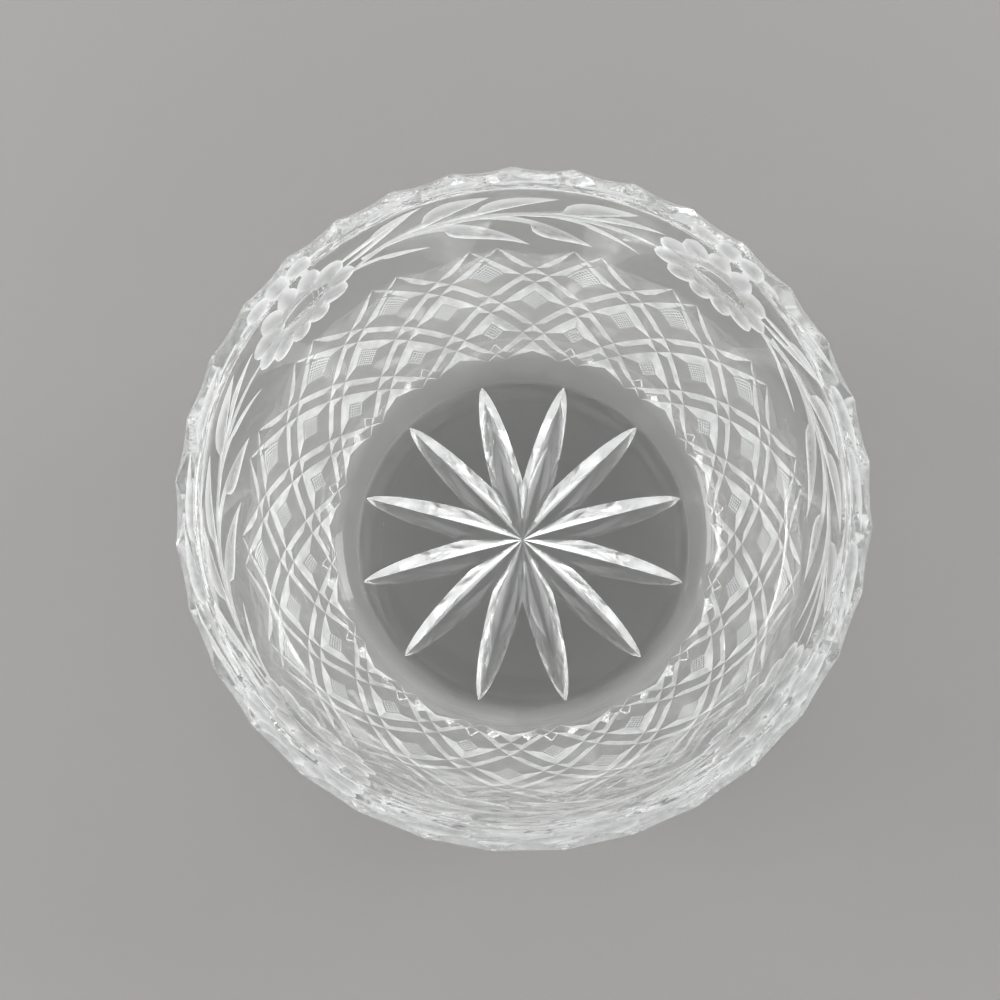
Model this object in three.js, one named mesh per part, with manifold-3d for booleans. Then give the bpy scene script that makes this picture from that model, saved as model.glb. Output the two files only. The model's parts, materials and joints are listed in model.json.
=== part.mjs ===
// A heavy cut-glass rose bowl, 200 mm across: one thick clear casting, ground and polished on wheels.
// The inside is left smooth, and the outside carries four kinds of cut:
//   rim          33 shallow scallops ground into the outer top edge
//   upper wall   four flowers joined by leaf sprays
//   belly        a band of double mitres that leave flat diamonds between them
//   foot         a twelve-rayed star cut up into the flat underside
// Millimetres and degrees, +Z up, the origin at the centre of the foot.

import * as THREE from 'three';
import { mergeVertices } from 'three/addons/utils/BufferGeometryUtils.js';
import Module from 'manifold-3d';

// Outline of the bowl
const rimRadius = 100;
const bowlHeight = 108;
const shoulderRadius = 96.5;
const shoulderHeight = 58;
const heelRadius = 68.5;
const heelHeight = 2;
const footRadius = 66;
const heelRoundShare = 0.2;

// Thickness of the glass
const rimThickness = 7;
const bellyThickness = 8.5;
const floorThickness = 12;
const rimInnerRound = 2;

// The length up the outer wall, from the heel, over which the inside sweeps round into its flat floor
const floorSweepLength = 39;

// Scallops of the rim
const scallopCount = 33;
const scallopPhase = 4.2;
const scallopWheelRadius = 30;
const scallopTilt = 45;
const scallopWheelWidth = 24;

// Band of double mitres
const mitreRepeats = 16;
const mitrePhase = 8.2;
const mitreTop = 67;
const mitreFoot = 7;
const mitreTurn = 45;
const mitrePairGap = 6;
const mitreHalfWidth = 5.6;
const mitreDepth = 3.1;
const diamondDepth = 0.3;

// Shares of the band's turn over which a cut deepens from its top and foot ends, how quickly it opens there,
// the least share of its depth at an end, how much of the half pitch a flank may take before the diamonds
// close up, and where in the half pitch a diamond's edge stands before its flank is worked out
const mitreTopFade = 0.3;
const mitreFootFade = 0.08;
const mitreFadePower = 0.6;
const mitreTipDepth = 0.06;
const mitreFlankLimit = 0.92;
const diamondEdgeShare = 0.75;

// The narrowest flank of a mitre, in degrees
const mitreFinestFlank = 0.4;

// Flowers and leaf sprays
const sprayRepeats = 4;
const flowerPhase = 49;
const flowerHeight = 87;
const flowerHalfWidth = 24;
const flowerHalfHeight = 14;
const flowerEyeShift = 2.6;
const flowerEyeHalfWidth = 11.9;
const flowerEyeHalfHeight = 5;
const flowerEyeDepth = 1.2;
const petalCount = 11;
const petalPhase = -4;
const petalOverlap = 2;
const petalHalfWidth = 4.2;
const petalDepth = 0.9;
const petalRootShare = 0.06;
const petalTipShare = 0.95;
const petalRoundness = 0.7;
const sprayHeight = 86.5;
const stemHalfWidth = 1.1;
const stemDepth = 0.8;
const stemEndShare = 0.3;
const stalkHalfWidth = 0.5;
const smoothStart = 0.2;
const lobeStart = 0.5;
const swellPower = 0.6;
const leafDepthShare = 0.2;

// Star of the foot
const starRays = 12;
const starPhase = 15;
const starRadius = 65;
const starShoulderRadius = 22.5;
const starHalfWidth = 6;
const starDepth = 3.8;
const starCoreRadius = 0.5;
const starCoreShare = 0.4;
const starTipShare = 0.03;

// How far a cutter stands clear of the glass that it cuts, and how narrow a cut becomes at its ends
const cutRise = 0.9;
const finestCut = 0.08;

// How thick the ring that cuts the mitres is, and how many times faster than its turn it rises off the glass
// past the band
const ringThickness = 8;
const ringRise = 16;

// Fineness of the facets
const outerSegments = 48;
const innerSegments = 48;
const outerWallSteps = 6;
const innerWallSteps = 4;
const heelSteps = 2;
const floorSweepSteps = 4;
const scallopWheelFacets = 20;
const mitreTurnSteps = 100;

// Where the stations of a cut stand: shares of a leaf's length, from where it leaves the stem, shares of a
// petal's and of a ray's length, and places on the eye from -1 at its pointed end to 1 at its blunt one
const leafStations = [0.2, 0.45, 0.66, 0.84, 1];
const petalStations = [0, 0.5, 1];
const eyeStations = [-1, -0.4, 0.3, 0.75, 1];
const starStations = [0, 0.6, 0.88, 1];

const glass = new THREE.MeshStandardMaterial({ color: 0xdde4df, roughness: 0.04, metalness: 0 });
glass.transparent = true;
glass.opacity = 0.35;

const wasm = await Module();
wasm.setup();

const radians = THREE.MathUtils.degToRad;

// A closed three.js geometry as a solid that can be cut
function solidOf(geometry) {
  const bare = geometry.clone();
  bare.deleteAttribute('normal');
  bare.deleteAttribute('uv');
  const merged = mergeVertices(bare, 1e-4);
  const corners = merged.index.array;
  const triangles = [];
  for (let i = 0; i < corners.length; i += 3) {
    const [a, b, c] = corners.slice(i, i + 3);
    if (a !== b && b !== c && c !== a) triangles.push(a, b, c);
  }
  const mesh = new wasm.Mesh({
    numProp: 3,
    vertProperties: new Float32Array(merged.attributes.position.array),
    triVerts: new Uint32Array(triangles),
  });
  mesh.merge();
  return new wasm.Manifold(mesh);
}

// A cut solid as a flat-shaded three.js geometry
function geometryOf(solid) {
  const mesh = solid.getMesh();
  const geometry = new THREE.BufferGeometry();
  geometry.setAttribute('position', new THREE.BufferAttribute(new Float32Array(mesh.vertProperties), 3));
  geometry.setIndex(new THREE.BufferAttribute(new Uint32Array(mesh.triVerts), 1));
  geometry.computeVertexNormals();
  return geometry;
}

// The outer wall is an arc, the belly, that runs tangent into a straight, slightly leaning upper wall
const shoulder = new THREE.Vector2(shoulderRadius, shoulderHeight);
const upperSlope = Math.atan2(bowlHeight - shoulderHeight, rimRadius - shoulderRadius);
const bellyChord = shoulder.clone().sub(new THREE.Vector2(heelRadius, heelHeight));
const bellyHalfTurn = upperSlope - bellyChord.angle();
const bellyRadius = bellyChord.length() / (2 * Math.sin(bellyHalfTurn));
const bellyLength = 2 * bellyHalfTurn * bellyRadius;
const bellyStart = upperSlope - 2 * bellyHalfTurn;
const bellyCentre = new THREE.Vector2(
  shoulderRadius - bellyRadius * Math.sin(upperSlope),
  shoulderHeight + bellyRadius * Math.cos(upperSlope),
);
const wallLength = bellyLength + (bowlHeight - shoulderHeight) / Math.sin(upperSlope);

// Radius, height and slope of the outer wall at a length measured up it from the heel
function wallAt(length) {
  const onArc = Math.min(length, bellyLength);
  const slope = bellyStart + onArc / bellyRadius;
  const beyond = length - onArc;
  return {
    radius: bellyCentre.x + bellyRadius * Math.sin(slope) + beyond * Math.cos(upperSlope),
    height: bellyCentre.y - bellyRadius * Math.cos(slope) + beyond * Math.sin(upperSlope),
    slope,
  };
}

// The length up the outer wall at which a height is reached
function lengthAtHeight(height) {
  if (height > shoulderHeight) return bellyLength + (height - shoulderHeight) / Math.sin(upperSlope);
  const slope = Math.acos((bellyCentre.y - height) / bellyRadius);
  return (slope - bellyStart) * bellyRadius;
}

// A point of the outer wall with the outward normal there, at an angle round the bowl
function onWall(angle, length) {
  const { radius, height, slope } = wallAt(length);
  const out = new THREE.Vector3(Math.cos(angle), Math.sin(angle), 0);
  return {
    point: out.clone().multiplyScalar(radius).setZ(height),
    normal: out.clone().multiplyScalar(Math.sin(slope)).setZ(-Math.cos(slope)),
  };
}

// The cutter of a wheel cut: a closed prism swept through its stations, to be taken off the glass. A station
// has a point on the glass, the outward normal, the direction across the cut and the section, a list of
// across and down in millimetres that starts and ends above the glass.
function sweptCut(stations) {
  const positions = [];
  const indices = [];
  const corners = stations[0].section.length;
  for (const { point, normal, side, section } of stations) {
    for (const [across, down] of section) {
      positions.push(...point.clone().addScaledVector(side, across).addScaledVector(normal, -down));
    }
  }
  for (let i = 0; i < stations.length - 1; i++) {
    for (let corner = 0; corner < corners; corner++) {
      const a = corners * i + corner;
      const b = corners * i + (corner + 1) % corners;
      indices.push(a, b, b + corners, a, b + corners, a + corners);
    }
  }
  const end = corners * (stations.length - 1);
  for (let corner = 1; corner < corners - 1; corner++) {
    indices.push(0, corner + 1, corner, end, end + corner, end + corner + 1);
  }
  const geometry = new THREE.BufferGeometry();
  geometry.setAttribute('position', new THREE.Float32BufferAttribute(positions, 3));
  geometry.setIndex(indices);
  return solidOf(geometry);
}

// Section of one V with its own half width on each side: its flanks go on to a little above the glass
function veeSection(leftWidth, rightWidth, depth) {
  const spread = 1 + cutRise / depth;
  return [[-leftWidth * spread, -cutRise], [0, depth], [rightWidth * spread, -cutRise]];
}

// Stations of a cut square to its own path
function squareTo(path) {
  return path.map((station, i) => {
    const before = path[Math.max(i - 1, 0)].point;
    const after = path[Math.min(i + 1, path.length - 1)].point;
    return { ...station, side: station.normal.clone().cross(after.clone().sub(before)).normalize() };
  });
}

// Body: the turned outside and the smooth inside

// An outline of radius and height, turned about the bowl's axis
function turned(outline, segments) {
  return solidOf(new THREE.LatheGeometry(outline, segments).rotateX(Math.PI / 2));
}

function outerSolid() {
  const outline = [new THREE.Vector2(0, 0), new THREE.Vector2(footRadius, 0)];
  const heelRound = new THREE.QuadraticBezierCurve(
    new THREE.Vector2(footRadius, 0),
    new THREE.Vector2(heelRadius - heelRoundShare * heelHeight, 0),
    new THREE.Vector2(heelRadius, heelHeight),
  );
  outline.push(...heelRound.getPoints(heelSteps).slice(1));
  for (let i = 1; i <= outerWallSteps; i++) {
    const { radius, height } = wallAt(bellyLength * i / outerWallSteps);
    outline.push(new THREE.Vector2(radius, height));
  }
  outline.push(new THREE.Vector2(rimRadius, bowlHeight), new THREE.Vector2(0, bowlHeight));
  return turned(outline, outerSegments);
}

// The inside follows the outer wall at its thickness, and sweeps into the flat floor at the bottom
function innerSolid() {
  const insideAt = (length) => {
    const { radius, height, slope } = wallAt(length);
    const thickness = THREE.MathUtils.lerp(bellyThickness, rimThickness, length / wallLength);
    const inward = new THREE.Vector2(-Math.sin(slope), Math.cos(slope));
    return { point: new THREE.Vector2(radius, height).addScaledVector(inward, thickness), slope };
  };
  const sweepEnd = insideAt(floorSweepLength);
  const run = (sweepEnd.point.y - floorThickness) / Math.tan(sweepEnd.slope);
  const bend = new THREE.Vector2(sweepEnd.point.x - run, floorThickness);
  const sweepStart = new THREE.Vector2(bend.x - sweepEnd.point.distanceTo(bend), floorThickness);
  const floorSweep = new THREE.QuadraticBezierCurve(sweepStart, bend, sweepEnd.point);
  const outline = [new THREE.Vector2(0, floorThickness), ...floorSweep.getPoints(floorSweepSteps)];

  const lipLength = lengthAtHeight(bowlHeight - rimInnerRound);
  for (let i = 1; i < innerWallSteps; i++) {
    const length = THREE.MathUtils.lerp(floorSweepLength, lipLength, i / innerWallSteps);
    outline.push(insideAt(length).point);
  }
  const lip = rimRadius - rimThickness;
  outline.push(
    new THREE.Vector2(lip, bowlHeight - rimInnerRound),
    new THREE.Vector2(lip + rimInnerRound, bowlHeight),
    new THREE.Vector2(lip + rimInnerRound, bowlHeight + cutRise),
    new THREE.Vector2(0, bowlHeight + cutRise),
  );
  return turned(outline, innerSegments);
}

// Rim: a round wheel, held on a slant, takes one shallow scallop after another off the outer top edge

function scallopCuts() {
  const tilt = radians(scallopTilt);
  const halfPitch = rimRadius * Math.PI / scallopCount;
  const depth = halfPitch ** 2 / 2 * (1 / scallopWheelRadius + Math.sin(tilt) / rimRadius);
  const wheel = new THREE.CylinderGeometry(
    scallopWheelRadius,
    scallopWheelRadius,
    scallopWheelWidth,
    scallopWheelFacets,
  );
  return Array.from({ length: scallopCount }, (_, i) => {
    const angle = radians(scallopPhase) + (i + 0.5) * 2 * Math.PI / scallopCount;
    const out = new THREE.Vector3(Math.cos(angle), Math.sin(angle), 0);
    const across = new THREE.Vector3(-Math.sin(angle), Math.cos(angle), 0);
    const away = out.clone().multiplyScalar(Math.sin(tilt)).setZ(Math.cos(tilt));
    const axis = away.clone().cross(across);
    const centre = out.clone().multiplyScalar(rimRadius).setZ(bowlHeight)
      .addScaledVector(away, scallopWheelRadius - depth);
    const place = new THREE.Matrix4().makeBasis(across, axis, away).setPosition(centre);
    return solidOf(wheel.clone().applyMatrix4(place));
  });
}

// Band of double mitres: pairs of V cuts that keep one angle to the rim all the way down, in both hands.
// One cutter takes them all: a ring whose inner face has the shape of the finished band. A place on the band
// is given by two angles, one for each hand: the angle round the bowl at which a cut through that place
// starts at the top, going down to the left and going down to the right.

function mitreBandCut() {
  const top = lengthAtHeight(mitreTop);
  const foot = lengthAtHeight(mitreFoot);
  const lengthAt = (share) => THREE.MathUtils.lerp(top, foot, share);

  // Share of the whole turn that a cut has made at each share of its way down
  const steps = mitreTurnSteps;
  const turns = [0];
  for (let i = 0; i < steps; i++) {
    turns.push(turns[i] + (top - foot) / steps / wallAt(lengthAt((i + 0.5) / steps)).radius);
  }
  const steepness = Math.sin(Math.atan2(turns[steps], radians(mitreTurn)));
  const downAtTurn = (turn) => {
    const wanted = turn * turns[steps];
    const i = THREE.MathUtils.clamp(turns.findIndex((value) => value > wanted), 1, steps);
    return (i - 1 + (wanted - turns[i - 1]) / (turns[i] - turns[i - 1])) / steps;
  };
  const place = (left, right) => ({
    angle: radians((left + right) / 2),
    length: lengthAt(downAtTurn((right - left) / (2 * mitreTurn))),
  });

  // A corner of the pattern: its offsets in degrees from a crossing, and its depth below the glass. A flank
  // keeps one slope, so it is as wide as its cut is deep. Past the band the ring rises off the glass.
  // The offset called edge stands for a diamond's edge, wherever its flank comes to lie. A cut's own line
  // still counts at the band's very edge, where the corners beside it don't.
  const pitch = 360 / mitreRepeats;
  const half = pitch / 2;
  const gap = mitrePairGap / 2;
  const edge = diamondEdgeShare * half;
  const nearEdge = 0.01;
  const corner = (left, right, x, y, kind) => {
    const { radius } = wallAt(place(left + x, right + y).length);
    const turn = (right + y - left - x) / (2 * mitreTurn);
    const toEdge = Math.min(turn, 1 - turn);
    const inBand = toEdge > (kind === 'line' ? -nearEdge : nearEdge);
    const opened = Math.min(turn / mitreTopFade, (1 - turn) / mitreFootFade, 1);
    const runOut = Math.max(mitreTipDepth, Math.max(opened, 0) ** mitreFadePower);
    const slope = mitreDepth / mitreHalfWidth * radius * steepness;
    const depths = {
      line: mitreDepth * runOut,
      ridge: (mitreDepth - radians(gap) * slope) * runOut,
      edge: diamondDepth,
    };
    const depth = inBand ? depths[kind] : -cutRise * (1 + ringRise * Math.max(0, -toEdge));
    const flank = THREE.MathUtils.radToDeg((mitreDepth * runOut - diamondDepth) / slope);
    const flankEdge = Math.min(gap + Math.max(flank, mitreFinestFlank), mitreFlankLimit * half);
    const settle = (offset) => (Math.abs(offset) === edge ? Math.sign(offset) * flankEdge : offset);
    const { angle, length } = place(left + settle(x), right + settle(y));
    const { point, normal } = onWall(angle, length);
    return {
      inBand,
      inner: point.clone().addScaledVector(normal, -depth),
      outer: point.clone().addScaledVector(normal, ringThickness),
    };
  };

  // One tile of the pattern, round a crossing: a little pyramid, four roofs that lead away from it between
  // the pairs, and the outer flanks up to a quarter of each flat diamond
  const quarter = [
    [[0, 0, 'ridge'], [gap, -gap, 'line'], [gap, gap, 'line']],
    [[gap, -gap, 'line'], [2 * gap, 0, 'ridge'], [gap, gap, 'line']],
    [[gap, gap, 'line'], [2 * gap, 0, 'ridge'], [half, 0, 'ridge'], [half, gap, 'line']],
    [[gap, -gap, 'line'], [half, -gap, 'line'], [half, 0, 'ridge'], [2 * gap, 0, 'ridge']],
    [[gap, gap, 'line'], [half, gap, 'line'], [half, edge, 'edge'], [edge, edge, 'edge']],
    [[gap, gap, 'line'], [edge, edge, 'edge'], [edge, half, 'edge'], [gap, half, 'line']],
    [[edge, edge, 'edge'], [half, edge, 'edge'], [half, half, 'edge'], [edge, half, 'edge']],
  ];
  const faces = [];
  for (let i = 0; i < mitreRepeats; i++) {
    for (let row = 0; row <= 2 * mitreTurn / pitch; row++) {
      const left = mitrePhase + i * pitch;
      const right = left + row * pitch;
      for (const face of quarter) {
        faces.push(face.map(([x, y, kind]) => corner(left, right, x, y, kind)));
        faces.push(face.map(([x, y, kind]) => corner(left, right, -y, x, kind)));
        faces.push(face.map(([x, y, kind]) => corner(left, right, -x, -y, kind)));
        faces.push(face.map(([x, y, kind]) => corner(left, right, y, -x, kind)));
      }
    }
  }
  return solidOf(thickSheet(faces.filter((face) => face.some(({ inBand }) => inBand))));
}

// A closed shell from the faces of a sheet: its inner side, its outer side and the walls round its edges
function thickSheet(faces) {
  const keyOf = ({ inner }) => inner.toArray().map((value) => Math.round(1000 * value)).join();
  const positions = [];
  const add = (...points) => points.forEach((point) => positions.push(...point));
  const sides = new Map();
  for (const face of faces) {
    for (let i = 2; i < face.length; i++) {
      add(face[0].inner, face[i - 1].inner, face[i].inner);
      add(face[0].outer, face[i].outer, face[i - 1].outer);
    }
    face.forEach((from, i) => {
      const to = face[(i + 1) % face.length];
      if (!sides.delete(keyOf(to) + ' ' + keyOf(from))) sides.set(keyOf(from) + ' ' + keyOf(to), [from, to]);
    });
  }
  for (const [from, to] of sides.values()) {
    add(from.inner, to.outer, to.inner);
    add(from.inner, from.outer, to.outer);
  }
  const geometry = new THREE.BufferGeometry();
  geometry.setAttribute('position', new THREE.Float32BufferAttribute(positions, 3));
  return geometry;
}

// Flowers and leaves: cuts laid out flat, across and up in millimetres, then wrapped on the wall. A station
// has the half widths above and below its path and its depth.

function wrapped(centreAngle, height, stations) {
  const middle = lengthAtHeight(height);
  return sweptCut(squareTo(stations.map(({ across, up, above, below, depth }) => ({
    ...onWall(centreAngle - across / wallAt(middle).radius, middle + up),
    section: veeSection(above, below, depth),
  }))));
}

// The stem, across and up in millimetres from the middle of the spray
const stemPath = [[-60, -3], [-40, 1.9], [10, 1.1], [56, -0.3]];

// Each leaf runs from its root on the stem to its tip, across and up like the stem. Its path hugs the stem
// at first and then bends away, the more so for a higher bend. The blade has one half width on its smooth
// side and another on its lobed side, away from the stem.
const leaves = [
  { root: [-60, 2], tip: [-29.4, 12.2], bend: 1.2, smooth: 1.3, lobe: 1.2 },
  { root: [-64, 5], tip: [-25.5, 13.5], bend: 1, smooth: 1.2, lobe: 1.2 },
  { root: [-50, 1], tip: [-3.6, 11.3], bend: 1.27, smooth: 2.3, lobe: 4.4 },
  { root: [-35, 1.5], tip: [19.4, 10.4], bend: 1.47, smooth: 2.2, lobe: 3.2 },
  { root: [-4, 1], tip: [45.9, 11.7], bend: 2, smooth: 2.4, lobe: 4.4 },
  { root: [14, 1], tip: [55.8, 8.2], bend: 1.1, smooth: 1.5, lobe: 1.3 },
  { root: [-50, 1.5], tip: [9.9, -18.1], bend: 2.3, smooth: 3, lobe: 4.8 },
  { root: [-12, 0.8], tip: [32.5, -14.4], bend: 1.44, smooth: 2, lobe: 5.4 },
  { root: [8, 0.6], tip: [49.6, -9.3], bend: 2, smooth: 0.9, lobe: 0.9 },
  { root: [-60, -1], tip: [-26.3, -10], bend: 1.3, smooth: 1, lobe: 1 },
];

// How far a side of a blade has swelled out at a share of the leaf's length, from 0 to 1 and back
function swell(share, start) {
  const run = Math.max(0, share - start) / (1 - start);
  return Math.sin(Math.PI * run ** swellPower);
}

function sprayCuts(centreAngle) {
  const stem = stemPath.map(([across, up], i) => {
    const scale = i === 0 || i === stemPath.length - 1 ? stemEndShare : 1;
    const width = stemHalfWidth * scale;
    return { across, up, above: width, below: width, depth: stemDepth * scale };
  });
  const cuts = [wrapped(centreAngle, sprayHeight, stem)];
  for (const { root, tip, bend, smooth, lobe } of leaves) {
    const blade = leafStations.map((share) => {
      const stalk = stalkHalfWidth * (1 - share);
      const inner = Math.max(finestCut, stalk + smooth * swell(share, smoothStart));
      const outer = Math.max(finestCut, stalk + lobe * swell(share, lobeStart));
      const [above, below] = tip[1] > 0 ? [outer, inner] : [inner, outer];
      return {
        across: THREE.MathUtils.lerp(root[0], tip[0], share),
        up: root[1] + (tip[1] - root[1]) * share ** bend,
        above,
        below,
        depth: (above + below) * leafDepthShare,
      };
    });
    cuts.push(wrapped(centreAngle, sprayHeight, blade));
  }
  return cuts;
}

// The petals stand round the eye on an oval, each a scoop from the eye out to the oval. The eye is a pointed
// oval, blunt at one end: its width goes as (1 + share) times the root of (1 - share).
function flowerCuts(centreAngle) {
  const cuts = [];
  const rootHalfWidth = flowerEyeHalfWidth - petalOverlap;
  const rootHalfHeight = flowerEyeHalfHeight - petalOverlap / 2;
  for (let i = 0; i < petalCount; i++) {
    const turn = radians(petalPhase) + i * 2 * Math.PI / petalCount;
    cuts.push(wrapped(centreAngle, flowerHeight, petalStations.map((share) => {
      const along = THREE.MathUtils.lerp(petalRootShare, petalTipShare, share);
      const scale = Math.sin(Math.PI * along) ** petalRoundness;
      return {
        across: Math.cos(turn) * THREE.MathUtils.lerp(rootHalfWidth, flowerHalfWidth, share),
        up: Math.sin(turn) * THREE.MathUtils.lerp(rootHalfHeight, flowerHalfHeight, share),
        above: petalHalfWidth * scale,
        below: petalHalfWidth * scale,
        depth: petalDepth * scale,
      };
    })));
  }
  const widest = 4 * Math.SQRT2 / (3 * Math.sqrt(3));
  cuts.push(wrapped(centreAngle, flowerHeight, eyeStations.map((share) => {
    const scale = Math.max(finestCut, (1 + share) * Math.sqrt(1 - share) / widest);
    return {
      across: flowerEyeShift + share * flowerEyeHalfWidth,
      up: 0,
      above: flowerEyeHalfHeight * scale,
      below: flowerEyeHalfHeight * scale,
      depth: flowerEyeDepth * scale,
    };
  })));
  return cuts;
}

function flowerBandCuts() {
  const cuts = [];
  for (let i = 0; i < sprayRepeats; i++) {
    const flower = radians(flowerPhase) + i * 2 * Math.PI / sprayRepeats;
    cuts.push(...flowerCuts(flower), ...sprayCuts(flower + Math.PI / sprayRepeats));
  }
  return cuts;
}

// Star: twelve long rays cut up into the foot. They are widest where neighbours meet, and from there
// outwards their width falls like a quarter of an ellipse, so that they stay broad until near the tip.

function starCuts() {
  const down = new THREE.Vector3(0, 0, -1);
  return Array.from({ length: starRays }, (_, i) => {
    const angle = radians(starPhase) + i * 2 * Math.PI / starRays;
    const outward = starStations.map((share) => ({
      radius: THREE.MathUtils.lerp(starShoulderRadius, starRadius, share),
      scale: Math.max(starTipShare, Math.sqrt(1 - share ** 2)),
    }));
    const stations = [{ radius: starCoreRadius, scale: starCoreShare }, ...outward];
    return sweptCut(squareTo(stations.map(({ radius, scale }) => ({
      point: new THREE.Vector3(radius * Math.cos(angle), radius * Math.sin(angle), 0),
      normal: down,
      section: veeSection(starHalfWidth * scale, starHalfWidth * scale, starDepth * scale),
    }))));
  });
}

let body = outerSolid().subtract(innerSolid());
const cuts = [...scallopCuts(), mitreBandCut(), ...flowerBandCuts(), ...starCuts()];
body = cuts.reduce((rest, cut) => rest.subtract(cut), body);

const bowl = new THREE.Mesh(geometryOf(body), glass);
bowl.name = 'bowl';

const roseBowl = new THREE.Group();
roseBowl.add(bowl);

export default roseBowl;
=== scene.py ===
"""A heavy cut-glass rose bowl, 200 mm across, standing on its star-cut foot.

The bowl is one piece of clear glass. Its casting is turned first. Each kind of wheel cut is then made as the
solid that the wheel takes away: scalloped rim, band of double mitres, leaf sprays, flowers and star. Sizes are
in millimetres until a mesh is made, except those of the lights and of the bumps in a material.
"""

import json
import math

import bpy
import numpy as np
from mathutils import Matrix

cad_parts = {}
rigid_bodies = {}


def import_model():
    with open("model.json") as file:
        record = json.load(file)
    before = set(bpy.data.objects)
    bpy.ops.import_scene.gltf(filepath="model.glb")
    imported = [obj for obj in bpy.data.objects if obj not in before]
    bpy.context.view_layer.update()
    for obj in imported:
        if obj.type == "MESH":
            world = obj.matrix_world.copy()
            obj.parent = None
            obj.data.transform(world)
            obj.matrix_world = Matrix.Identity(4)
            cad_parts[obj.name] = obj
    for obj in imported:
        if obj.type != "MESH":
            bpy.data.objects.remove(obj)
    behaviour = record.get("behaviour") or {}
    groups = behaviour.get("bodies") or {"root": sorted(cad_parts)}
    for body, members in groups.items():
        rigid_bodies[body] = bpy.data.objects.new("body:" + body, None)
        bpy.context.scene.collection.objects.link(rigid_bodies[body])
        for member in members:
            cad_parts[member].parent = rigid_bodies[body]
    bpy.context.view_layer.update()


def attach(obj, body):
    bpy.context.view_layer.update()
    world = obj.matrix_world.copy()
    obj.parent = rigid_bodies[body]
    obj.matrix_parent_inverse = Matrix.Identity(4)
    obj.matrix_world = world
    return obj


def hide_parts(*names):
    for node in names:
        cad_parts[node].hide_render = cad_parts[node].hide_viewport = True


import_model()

whole_scene = bpy.context.scene.collection


def pose(right, up, back, place):
    """The matrix that puts a camera or a lamp at a place in metres. Both look away from their back."""
    axes = np.identity(4)
    axes[:3, 0], axes[:3, 1], axes[:3, 2], axes[:3, 3] = right, up, back, place
    return Matrix(axes)


def new_mesh(name, points, faces, finish, collection):
    """A mesh object in a collection, from an array of points in millimetres and a list of faces, with one
    finish."""
    mesh = bpy.data.meshes.new(name)
    mesh.from_pydata((np.asarray(points).reshape(-1, 3) / 1000).tolist(), [], faces)
    mesh.materials.append(finish)
    made = bpy.data.objects.new(name, mesh)
    collection.objects.link(made)
    return made


# Camera: it looks down into the bowl from nearly straight above, a little to the near side of the middle.

CAMERA_PLACE = (2.87, -57.38, 388.69)
CAMERA_TILT = math.radians(10.797)
CAMERA_PAN = math.radians(-1.715)
FOCAL_LENGTH, SENSOR_WIDTH = 36.0, 36.0
NEAREST_SEEN = 0.01

pan_cos, pan_sin = math.cos(CAMERA_PAN), math.sin(CAMERA_PAN)
level = np.array([1.0, 0.0, 0.0])
forward = np.array([0.0, math.sin(CAMERA_TILT), -math.cos(CAMERA_TILT)])
upward = np.array([0.0, math.cos(CAMERA_TILT), math.sin(CAMERA_TILT)])
sideways = level * pan_cos - forward * pan_sin
sight = forward * pan_cos + level * pan_sin

lens = bpy.data.cameras.new("camera")
lens.lens = FOCAL_LENGTH
lens.sensor_width = SENSOR_WIDTH
lens.clip_start = NEAREST_SEEN
camera = bpy.data.objects.new("camera", lens)
whole_scene.objects.link(camera)
camera.matrix_world = pose(sideways, upward, -sight, np.array(CAMERA_PLACE) / 1000)
bpy.context.scene.camera = camera

# Floor and light: a plain pale table top under a wide soft ceiling light and a smaller one on each side, in a
# room that is bright low down and dim above. Behind the table the camera itself sees a plain pale backdrop.

FLOOR_SIZE = 24000.0
FLOOR_DROP = 0.3
FLOOR_COLOUR = (0.38, 0.37, 0.36)
ROOM_TOP = (0.22, 0.225, 0.23)
ROOM_HORIZON = (1.85, 1.85, 1.88)
# The room dims between these two heights, given as the upward part of a direction of length 1
ROOM_DIMMING = (0.5, 0.7)
BACKDROP = (0.58, 0.58, 0.58)
LIGHTS = {
    "ceiling": {"place": (0.15, 0.25, 1.6), "size": (1.4, 1.0), "power": 2.0},
    "window_left": {"place": (-1.5, 0.1, 0.75), "size": (0.8, 0.6), "power": 7.0},
    "window_right": {"place": (1.3, 0.5, 0.9), "size": (0.5, 0.5), "power": 3.0},
}
# Light is turned back many times inside thick cut glass before it leaves
BOUNCES, GLOSSY_BOUNCES = 24, 20


class Signal:
    """An output of a shader node. Arithmetic on signals and numbers adds Math nodes to their tree."""

    def __init__(self, tree, socket=None):
        self.tree = tree
        self.socket = socket

    def node(self, kind, output, settings, inputs):
        """A new node of a kind: its settings are set first, then each input takes its value or its link."""
        made = self.tree.nodes.new("ShaderNode" + kind)
        for name, value in settings.items():
            setattr(made, name, value)
        for name, value in inputs.items():
            if isinstance(value, Signal):
                self.tree.links.new(value.socket, made.inputs[name])
            else:
                made.inputs[name].default_value = value
        return Signal(self.tree, made.outputs[output])

    def math(self, operation, *values):
        return self.node("Math", 0, {"operation": operation}, dict(enumerate(values)))

    def __add__(self, other):
        return self.math("ADD", self, other)

    def __sub__(self, other):
        return self.math("SUBTRACT", self, other)

    def __rsub__(self, other):
        return self.math("SUBTRACT", other, self)

    def __mul__(self, other):
        return self.math("MULTIPLY", self, other)

    __radd__ = __add__
    __rmul__ = __mul__

    def between(self, low, high):
        """0 below low, 1 above high, and a straight ramp from one to the other."""
        return self.node("MapRange", 0, {}, {"Value": self, "From Min": low, "From Max": high})


def empty_tree(owner):
    """The signal that starts the nodes of a material or a world, whose tree is emptied first."""
    owner.use_nodes = True
    owner.node_tree.nodes.clear()
    return Signal(owner.node_tree)


def material(name):
    """A new material, and the signal of the place on its object, from which its other nodes are made."""
    made = bpy.data.materials.new(name)
    return made, empty_tree(made).node("TexCoord", "Object", {}, {})


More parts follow.
